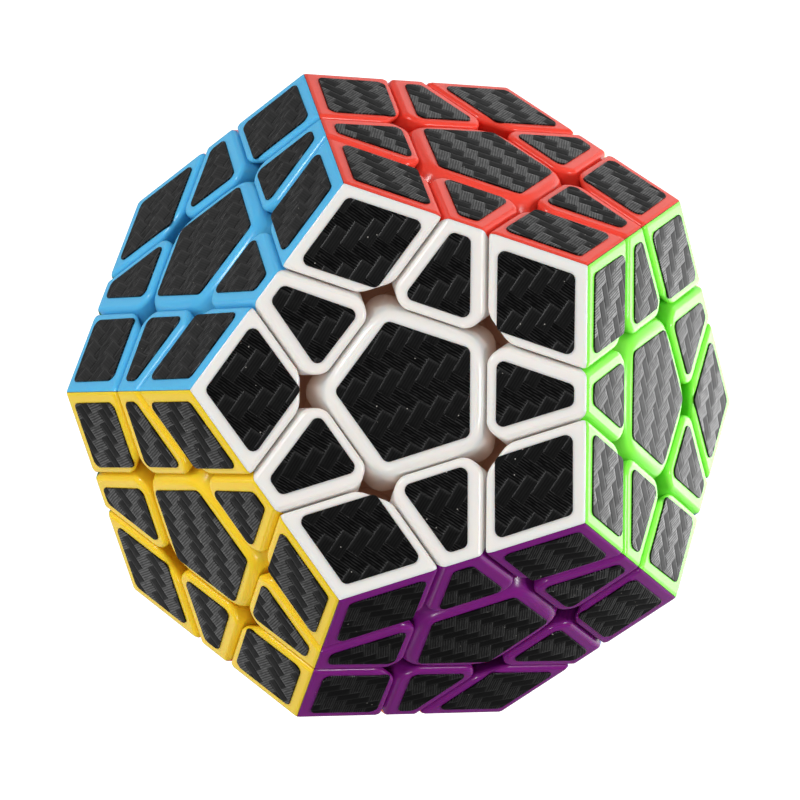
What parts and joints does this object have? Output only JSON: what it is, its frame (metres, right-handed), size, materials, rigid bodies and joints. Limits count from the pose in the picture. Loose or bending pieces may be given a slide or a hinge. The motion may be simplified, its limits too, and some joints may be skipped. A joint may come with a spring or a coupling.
{
  "type": "dodecahedron twisty puzzle",
  "caption": "Dodecahedral turning puzzle: coloured plastic centres, edges and corners with dark woven-look stickers, each face layer turning on a sprung core.",
  "frame": {"origin": "centre of the core, where all the face axes meet", "axes": "+Z out of the white face; the red face leans to +Y; the puzzle rests on its grey face, at -Z"},
  "size_m": [0.0796, 0.0836, 0.0684],
  "materials": {
    "white_plastic": "satin",
    "red_plastic": "satin",
    "blue_plastic": "satin",
    "yellow_plastic": "satin",
    "purple_plastic": "satin",
    "green_plastic": "satin",
    "pink_plastic": "satin",
    "dark_green_plastic": "satin",
    "orange_plastic": "satin",
    "dark_blue_plastic": "satin",
    "cream_plastic": "satin",
    "grey_plastic": "satin",
    "core_plastic": "matte",
    "screw_steel": "zinc plated",
    "spring_steel": "bright",
    "sticker_film": "embossed twill"
  },
  "bodies": {
    "core": {"core": "core_plastic", "centre_screws": "screw_steel", "centre_springs": "spring_steel", "centre_grey": "grey_plastic"},
    "centre_white": {"centre_white": "white_plastic"},
    "centre_red": {"centre_red": "red_plastic"},
    "centre_blue": {"centre_blue": "blue_plastic"},
    "centre_yellow": {"centre_yellow": "yellow_plastic"},
    "centre_purple": {"centre_purple": "purple_plastic"},
    "centre_green": {"centre_green": "green_plastic"},
    "centre_pink": {"centre_pink": "pink_plastic", "edge_pink_grey": "pink_plastic"},
    "centre_dark_green": {"centre_dark_green": "dark_green_plastic", "edge_dark_green_grey": "dark_green_plastic"},
    "centre_orange": {"centre_orange": "orange_plastic", "edge_orange_grey": "orange_plastic"},
    "centre_dark_blue": {"centre_dark_blue": "dark_blue_plastic", "edge_dark_blue_grey": "dark_blue_plastic"},
    "centre_cream": {"centre_cream": "cream_plastic", "edge_cream_grey": "cream_plastic"},
    "edge_white_red": {"edge_white_red": "white_plastic"},
    "edge_white_blue": {"edge_white_blue": "white_plastic"},
    "edge_white_yellow": {"edge_white_yellow": "white_plastic"},
    "edge_white_purple": {"edge_white_purple": "white_plastic"},
    "edge_white_green": {"edge_white_green": "white_plastic"},
    "edge_red_blue": {"edge_red_blue": "red_plastic"},
    "edge_red_green": {"edge_red_green": "red_plastic"},
    "edge_red_pink": {"edge_red_pink": "red_plastic"},
    "edge_red_cream": {"edge_red_cream": "red_plastic"},
    "edge_blue_yellow": {"edge_blue_yellow": "blue_plastic"},
    "edge_blue_pink": {"edge_blue_pink": "blue_plastic"},
    "edge_blue_dark_green": {"edge_blue_dark_green": "blue_plastic"},
    "edge_yellow_purple": {"edge_yellow_purple": "yellow_plastic"},
    "edge_yellow_dark_green": {"edge_yellow_dark_green": "yellow_plastic"},
    "edge_yellow_orange": {"edge_yellow_orange": "yellow_plastic"},
    "edge_purple_green": {"edge_purple_green": "purple_plastic"},
    "edge_purple_orange": {"edge_purple_orange": "purple_plastic"},
    "edge_purple_dark_blue": {"edge_purple_dark_blue": "purple_plastic"},
    "edge_green_dark_blue": {"edge_green_dark_blue": "green_plastic"},
    "edge_green_cream": {"edge_green_cream": "green_plastic"},
    "edge_pink_dark_green": {"edge_pink_dark_green_with_corner_grey": "pink_plastic"},
    "edge_pink_cream": {"edge_pink_cream_with_corner_grey": "pink_plastic"},
    "edge_dark_green_orange": {"edge_dark_green_orange_with_corner_grey": "dark_green_plastic"},
    "edge_orange_dark_blue": {"edge_orange_dark_blue_with_corner_grey": "orange_plastic"},
    "edge_dark_blue_cream": {"edge_dark_blue_cream_with_corner_grey": "dark_blue_plastic"},
    "corner_white_red_blue": {"corner_white_red_blue": "white_plastic"},
    "corner_white_red_green": {"corner_white_red_green": "white_plastic"},
    "corner_white_blue_yellow": {"corner_white_blue_yellow": "white_plastic"},
    "corner_white_yellow_purple": {"corner_white_yellow_purple": "white_plastic"},
    "corner_white_purple_green": {"corner_white_purple_green": "white_plastic"},
    "corner_red_blue_pink": {"corner_red_blue_pink": "red_plastic"},
    "corner_red_green_cream": {"corner_red_green_cream": "red_plastic"},
    "corner_red_pink_cream": {"corner_red_pink_cream": "red_plastic"},
    "corner_blue_yellow_dark_green": {"corner_blue_yellow_dark_green": "blue_plastic"},
    "corner_blue_pink_dark_green": {"corner_blue_pink_dark_green": "blue_plastic"},
    "corner_yellow_purple_orange": {"corner_yellow_purple_orange": "yellow_plastic"},
    "corner_yellow_dark_green_orange": {"corner_yellow_dark_green_orange": "yellow_plastic"},
    "corner_purple_green_dark_blue": {"corner_purple_green_dark_blue": "purple_plastic"},
    "corner_purple_orange_dark_blue": {"corner_purple_orange_dark_blue": "purple_plastic"},
    "corner_green_dark_blue_cream": {"corner_green_dark_blue_cream": "green_plastic"}
  },
  "joints": [
    {"name": "turn_white", "type": "hinge", "parent": "core", "child": "centre_white", "pos_m": [0, 0, 0], "axis": [0, 0, 1], "range_deg": [-288, 432]},
    {"name": "turn_red", "type": "hinge", "parent": "core", "child": "centre_red", "pos_m": [0, 0, 0], "axis": [0, 0.8944, 0.4472], "range_deg": [-288, 432]},
    {"name": "turn_blue", "type": "hinge", "parent": "core", "child": "centre_blue", "pos_m": [0, 0, 0], "axis": [-0.8507, 0.2764, 0.4472], "range_deg": [-288, 432]},
    {"name": "turn_yellow", "type": "hinge", "parent": "core", "child": "centre_yellow", "pos_m": [0, 0, 0], "axis": [-0.5257, -0.7236, 0.4472], "range_deg": [-288, 432]},
    {"name": "turn_purple", "type": "hinge", "parent": "core", "child": "centre_purple", "pos_m": [0, 0, 0], "axis": [0.5257, -0.7236, 0.4472], "range_deg": [-288, 432]},
    {"name": "turn_green", "type": "hinge", "parent": "core", "child": "centre_green", "pos_m": [0, 0, 0], "axis": [0.8507, 0.2764, 0.4472], "range_deg": [-288, 432]},
    {"name": "turn_pink", "type": "hinge", "parent": "core", "child": "centre_pink", "pos_m": [0, 0, 0], "axis": [-0.5257, 0.7236, -0.4472], "range_deg": [-288, 432]},
    {"name": "turn_dark_green", "type": "hinge", "parent": "core", "child": "centre_dark_green", "pos_m": [0, 0, 0], "axis": [-0.8507, -0.2764, -0.4472], "range_deg": [-288, 432]},
    {"name": "turn_orange", "type": "hinge", "parent": "core", "child": "centre_orange", "pos_m": [0, 0, 0], "axis": [0, -0.8944, -0.4472], "range_deg": [-288, 432]},
    {"name": "turn_dark_blue", "type": "hinge", "parent": "core", "child": "centre_dark_blue", "pos_m": [0, 0, 0], "axis": [0.8507, -0.2764, -0.4472], "range_deg": [-288, 432]},
    {"name": "turn_cream", "type": "hinge", "parent": "core", "child": "centre_cream", "pos_m": [0, 0, 0], "axis": [0.5257, 0.7236, -0.4472], "range_deg": [-288, 432]},
    {"name": "edge_white_red_with_white", "type": "hinge", "parent": "centre_red", "child": "edge_white_red", "pos_m": [0, 0, 0], "axis": [0, 0, 1], "range_deg": [-288, 432]},
    {"name": "edge_white_blue_with_white", "type": "hinge", "parent": "centre_blue", "child": "edge_white_blue", "pos_m": [0, 0, 0], "axis": [0, 0, 1], "range_deg": [-288, 432]},
    {"name": "edge_white_yellow_with_white", "type": "hinge", "parent": "centre_yellow", "child": "edge_white_yellow", "pos_m": [0, 0, 0], "axis": [0, 0, 1], "range_deg": [-288, 432]},
    {"name": "edge_white_purple_with_white", "type": "hinge", "parent": "centre_purple", "child": "edge_white_purple", "pos_m": [0, 0, 0], "axis": [0, 0, 1], "range_deg": [-288, 432]},
    {"name": "edge_white_green_with_white", "type": "hinge", "parent": "centre_green", "child": "edge_white_green", "pos_m": [0, 0, 0], "axis": [0, 0, 1], "range_deg": [-288, 432]},
    {"name": "edge_red_blue_with_red", "type": "hinge", "parent": "centre_blue", "child": "edge_red_blue", "pos_m": [0, 0, 0], "axis": [0, 0.8944, 0.4472], "range_deg": [-288, 432]},
    {"name": "edge_red_green_with_green", "type": "hinge", "parent": "centre_red", "child": "edge_red_green", "pos_m": [0, 0, 0], "axis": [0.8507, 0.2764, 0.4472], "range_deg": [-288, 432]},
    {"name": "edge_red_pink_with_pink", "type": "hinge", "parent": "centre_red", "child": "edge_red_pink", "pos_m": [0, 0, 0], "axis": [-0.5257, 0.7236, -0.4472], "range_deg": [-288, 432]},
    {"name": "edge_red_cream_with_red", "type": "hinge", "parent": "centre_cream", "child": "edge_red_cream", "pos_m": [0, 0, 0], "axis": [0, 0.8944, 0.4472], "range_deg": [-288, 432]},
    {"name": "edge_blue_yellow_with_blue", "type": "hinge", "parent": "centre_yellow", "child": "edge_blue_yellow", "pos_m": [0, 0, 0], "axis": [-0.8507, 0.2764, 0.4472], "range_deg": [-288, 432]},
    {"name": "edge_blue_pink_with_blue", "type": "hinge", "parent": "centre_pink", "child": "edge_blue_pink", "pos_m": [0, 0, 0], "axis": [-0.8507, 0.2764, 0.4472], "range_deg": [-288, 432]},
    {"name": "edge_blue_dark_green_with_dark_green", "type": "hinge", "parent": "centre_blue", "child": "edge_blue_dark_green", "pos_m": [0, 0, 0], "axis": [-0.8507, -0.2764, -0.4472], "range_deg": [-288, 432]},
    {"name": "edge_yellow_purple_with_yellow", "type": "hinge", "parent": "centre_purple", "child": "edge_yellow_purple", "pos_m": [0, 0, 0], "axis": [-0.5257, -0.7236, 0.4472], "range_deg": [-288, 432]},
    {"name": "edge_yellow_dark_green_with_yellow", "type": "hinge", "parent": "centre_dark_green", "child": "edge_yellow_dark_green", "pos_m": [0, 0, 0], "axis": [-0.5257, -0.7236, 0.4472], "range_deg": [-288, 432]},
    {"name": "edge_yellow_orange_with_orange", "type": "hinge", "parent": "centre_yellow", "child": "edge_yellow_orange", "pos_m": [0, 0, 0], "axis": [0, -0.8944, -0.4472], "range_deg": [-288, 432]},
    {"name": "edge_purple_green_with_purple", "type": "hinge", "parent": "centre_green", "child": "edge_purple_green", "pos_m": [0, 0, 0], "axis": [0.5257, -0.7236, 0.4472], "range_deg": [-288, 432]},
    {"name": "edge_purple_orange_with_purple", "type": "hinge", "parent": "centre_orange", "child": "edge_purple_orange", "pos_m": [0, 0, 0], "axis": [0.5257, -0.7236, 0.4472], "range_deg": [-288, 432]},
    {"name": "edge_purple_dark_blue_with_dark_blue", "type": "hinge", "parent": "centre_purple", "child": "edge_purple_dark_blue", "pos_m": [0, 0, 0], "axis": [0.8507, -0.2764, -0.4472], "range_deg": [-288, 432]},
    {"name": "edge_green_dark_blue_with_green", "type": "hinge", "parent": "centre_dark_blue", "child": "edge_green_dark_blue", "pos_m": [0, 0, 0], "axis": [0.8507, 0.2764, 0.4472], "range_deg": [-288, 432]},
    {"name": "edge_green_cream_with_cream", "type": "hinge", "parent": "centre_green", "child": "edge_green_cream", "pos_m": [0, 0, 0], "axis": [0.5257, 0.7236, -0.4472], "range_deg": [-288, 432]},
    {"name": "edge_pink_dark_green_with_pink", "type": "hinge", "parent": "centre_dark_green", "child": "edge_pink_dark_green", "pos_m": [0, 0, 0], "axis": [-0.5257, 0.7236, -0.4472], "range_deg": [-288, 432]},
    {"name": "edge_pink_cream_with_cream", "type": "hinge", "parent": "centre_pink", "child": "edge_pink_cream", "pos_m": [0, 0, 0], "axis": [0.5257, 0.7236, -0.4472], "range_deg": [-288, 432]},
    {"name": "edge_dark_green_orange_with_dark_green", "type": "hinge", "parent": "centre_orange", "child": "edge_dark_green_orange", "pos_m": [0, 0, 0], "axis": [-0.8507, -0.2764, -0.4472], "range_deg": [-288, 432]},
    {"name": "edge_orange_dark_blue_with_orange", "type": "hinge", "parent": "centre_dark_blue", "child": "edge_orange_dark_blue", "pos_m": [0, 0, 0], "axis": [0, -0.8944, -0.4472], "range_deg": [-288, 432]},
    {"name": "edge_dark_blue_cream_with_dark_blue", "type": "hinge", "parent": "centre_cream", "child": "edge_dark_blue_cream", "pos_m": [0, 0, 0], "axis": [0.8507, -0.2764, -0.4472], "range_deg": [-288, 432]},
    {"name": "corner_white_red_blue_with_red", "type": "hinge", "parent": "edge_white_blue", "child": "corner_white_red_blue", "pos_m": [0, 0, 0], "axis": [0, 0.8944, 0.4472], "range_deg": [-288, 432]},
    {"name": "corner_white_red_green_with_green", "type": "hinge", "parent": "edge_white_red", "child": "corner_white_red_green", "pos_m": [0, 0, 0], "axis": [0.8507, 0.2764, 0.4472], "range_deg": [-288, 432]},
    {"name": "corner_white_blue_yellow_with_blue", "type": "hinge", "parent": "edge_white_yellow", "child": "corner_white_blue_yellow", "pos_m": [0, 0, 0], "axis": [-0.8507, 0.2764, 0.4472], "range_deg": [-288, 432]},
    {"name": "corner_white_yellow_purple_with_yellow", "type": "hinge", "parent": "edge_white_purple", "child": "corner_white_yellow_purple", "pos_m": [0, 0, 0], "axis": [-0.5257, -0.7236, 0.4472], "range_deg": [-288, 432]},
    {"name": "corner_white_purple_green_with_purple", "type": "hinge", "parent": "edge_white_green", "child": "corner_white_purple_green", "pos_m": [0, 0, 0], "axis": [0.5257, -0.7236, 0.4472], "range_deg": [-288, 432]},
    {"name": "corner_red_blue_pink_with_blue", "type": "hinge", "parent": "edge_red_pink", "child": "corner_red_blue_pink", "pos_m": [0, 0, 0], "axis": [-0.8507, 0.2764, 0.4472], "range_deg": [-288, 432]},
    {"name": "corner_red_green_cream_with_cream", "type": "hinge", "parent": "edge_red_green", "child": "corner_red_green_cream", "pos_m": [0, 0, 0], "axis": [0.5257, 0.7236, -0.4472], "range_deg": [-288, 432]},
    {"name": "corner_red_pink_cream_with_red", "type": "hinge", "parent": "edge_pink_cream", "child": "corner_red_pink_cream", "pos_m": [0, 0, 0], "axis": [0, 0.8944, 0.4472], "range_deg": [-288, 432]},
    {"name": "corner_blue_yellow_dark_green_with_dark_green", "type": "hinge", "parent": "edge_blue_yellow", "child": "corner_blue_yellow_dark_green", "pos_m": [0, 0, 0], "axis": [-0.8507, -0.2764, -0.4472], "range_deg": [-288, 432]},
    {"name": "corner_blue_pink_dark_green_with_dark_green", "type": "hinge", "parent": "edge_blue_pink", "child": "corner_blue_pink_dark_green", "pos_m": [0, 0, 0], "axis": [-0.8507, -0.2764, -0.4472], "range_deg": [-288, 432]},
    {"name": "corner_yellow_purple_orange_with_purple", "type": "hinge", "parent": "edge_yellow_orange", "child": "corner_yellow_purple_orange", "pos_m": [0, 0, 0], "axis": [0.5257, -0.7236, 0.4472], "range_deg": [-288, 432]},
    {"name": "corner_yellow_dark_green_orange_with_yellow", "type": "hinge", "parent": "edge_dark_green_orange", "child": "corner_yellow_dark_green_orange", "pos_m": [0, 0, 0], "axis": [-0.5257, -0.7236, 0.4472], "range_deg": [-288, 432]},
    {"name": "corner_purple_green_dark_blue_with_purple", "type": "hinge", "parent": "edge_green_dark_blue", "child": "corner_purple_green_dark_blue", "pos_m": [0, 0, 0], "axis": [0.5257, -0.7236, 0.4472], "range_deg": [-288, 432]},
    {"name": "corner_purple_orange_dark_blue_with_dark_blue", "type": "hinge", "parent": "edge_purple_orange", "child": "corner_purple_orange_dark_blue", "pos_m": [0, 0, 0], "axis": [0.8507, -0.2764, -0.4472], "range_deg": [-288, 432]},
    {"name": "corner_green_dark_blue_cream_with_cream", "type": "hinge", "parent": "edge_green_dark_blue", "child": "corner_green_dark_blue_cream", "pos_m": [0, 0, 0], "axis": [0.5257, 0.7236, -0.4472], "range_deg": [-288, 432]}
  ],
  "couplings": [
    {"joint": "edge_white_red_with_white", "follows": "turn_white", "ratio": 1},
    {"joint": "edge_white_blue_with_white", "follows": "turn_white", "ratio": 1},
    {"joint": "edge_white_yellow_with_white", "follows": "turn_white", "ratio": 1},
    {"joint": "edge_white_purple_with_white", "follows": "turn_white", "ratio": 1},
    {"joint": "edge_white_green_with_white", "follows": "turn_white", "ratio": 1},
    {"joint": "edge_red_blue_with_red", "follows": "turn_red", "ratio": 1},
    {"joint": "edge_red_green_with_green", "follows": "turn_green", "ratio": 1},
    {"joint": "edge_red_pink_with_pink", "follows": "turn_pink", "ratio": 1},
    {"joint": "edge_red_cream_with_red", "follows": "turn_red", "ratio": 1},
    {"joint": "edge_blue_yellow_with_blue", "follows": "turn_blue", "ratio": 1},
    {"joint": "edge_blue_pink_with_blue", "follows": "turn_blue", "ratio": 1},
    {"joint": "edge_blue_dark_green_with_dark_green", "follows": "turn_dark_green", "ratio": 1},
    {"joint": "edge_yellow_purple_with_yellow", "follows": "turn_yellow", "ratio": 1},
    {"joint": "edge_yellow_dark_green_with_yellow", "follows": "turn_yellow", "ratio": 1},
    {"joint": "edge_yellow_orange_with_orange", "follows": "turn_orange", "ratio": 1},
    {"joint": "edge_purple_green_with_purple", "follows": "turn_purple", "ratio": 1},
    {"joint": "edge_purple_orange_with_purple", "follows": "turn_purple", "ratio": 1},
    {"joint": "edge_purple_dark_blue_with_dark_blue", "follows": "turn_dark_blue", "ratio": 1},
    {"joint": "edge_green_dark_blue_with_green", "follows": "turn_green", "ratio": 1},
    {"joint": "edge_green_cream_with_cream", "follows": "turn_cream", "ratio": 1},
    {"joint": "edge_pink_dark_green_with_pink", "follows": "turn_pink", "ratio": 1},
    {"joint": "edge_pink_cream_with_cream", "follows": "turn_cream", "ratio": 1},
    {"joint": "edge_dark_green_orange_with_dark_green", "follows": "turn_dark_green", "ratio": 1},
    {"joint": "edge_orange_dark_blue_with_orange", "follows": "turn_orange", "ratio": 1},
    {"joint": "edge_dark_blue_cream_with_dark_blue", "follows": "turn_dark_blue", "ratio": 1},
    {"joint": "corner_white_red_blue_with_red", "follows": "turn_red", "ratio": 1},
    {"joint": "corner_white_red_green_with_green", "follows": "turn_green", "ratio": 1},
    {"joint": "corner_white_blue_yellow_with_blue", "follows": "turn_blue", "ratio": 1},
    {"joint": "corner_white_yellow_purple_with_yellow", "follows": "turn_yellow", "ratio": 1},
    {"joint": "corner_white_purple_green_with_purple", "follows": "turn_purple", "ratio": 1},
    {"joint": "corner_red_blue_pink_with_blue", "follows": "turn_blue", "ratio": 1},
    {"joint": "corner_red_green_cream_with_cream", "follows": "turn_cream", "ratio": 1},
    {"joint": "corner_red_pink_cream_with_red", "follows": "turn_red", "ratio": 1},
    {"joint": "corner_blue_yellow_dark_green_with_dark_green", "follows": "turn_dark_green", "ratio": 1},
    {"joint": "corner_blue_pink_dark_green_with_dark_green", "follows": "turn_dark_green", "ratio": 1},
    {"joint": "corner_yellow_purple_orange_with_purple", "follows": "turn_purple", "ratio": 1},
    {"joint": "corner_yellow_dark_green_orange_with_yellow", "follows": "turn_yellow", "ratio": 1},
    {"joint": "corner_purple_green_dark_blue_with_purple", "follows": "turn_purple", "ratio": 1},
    {"joint": "corner_purple_orange_dark_blue_with_dark_blue", "follows": "turn_dark_blue", "ratio": 1},
    {"joint": "corner_green_dark_blue_cream_with_cream", "follows": "turn_cream", "ratio": 1}
  ]
}
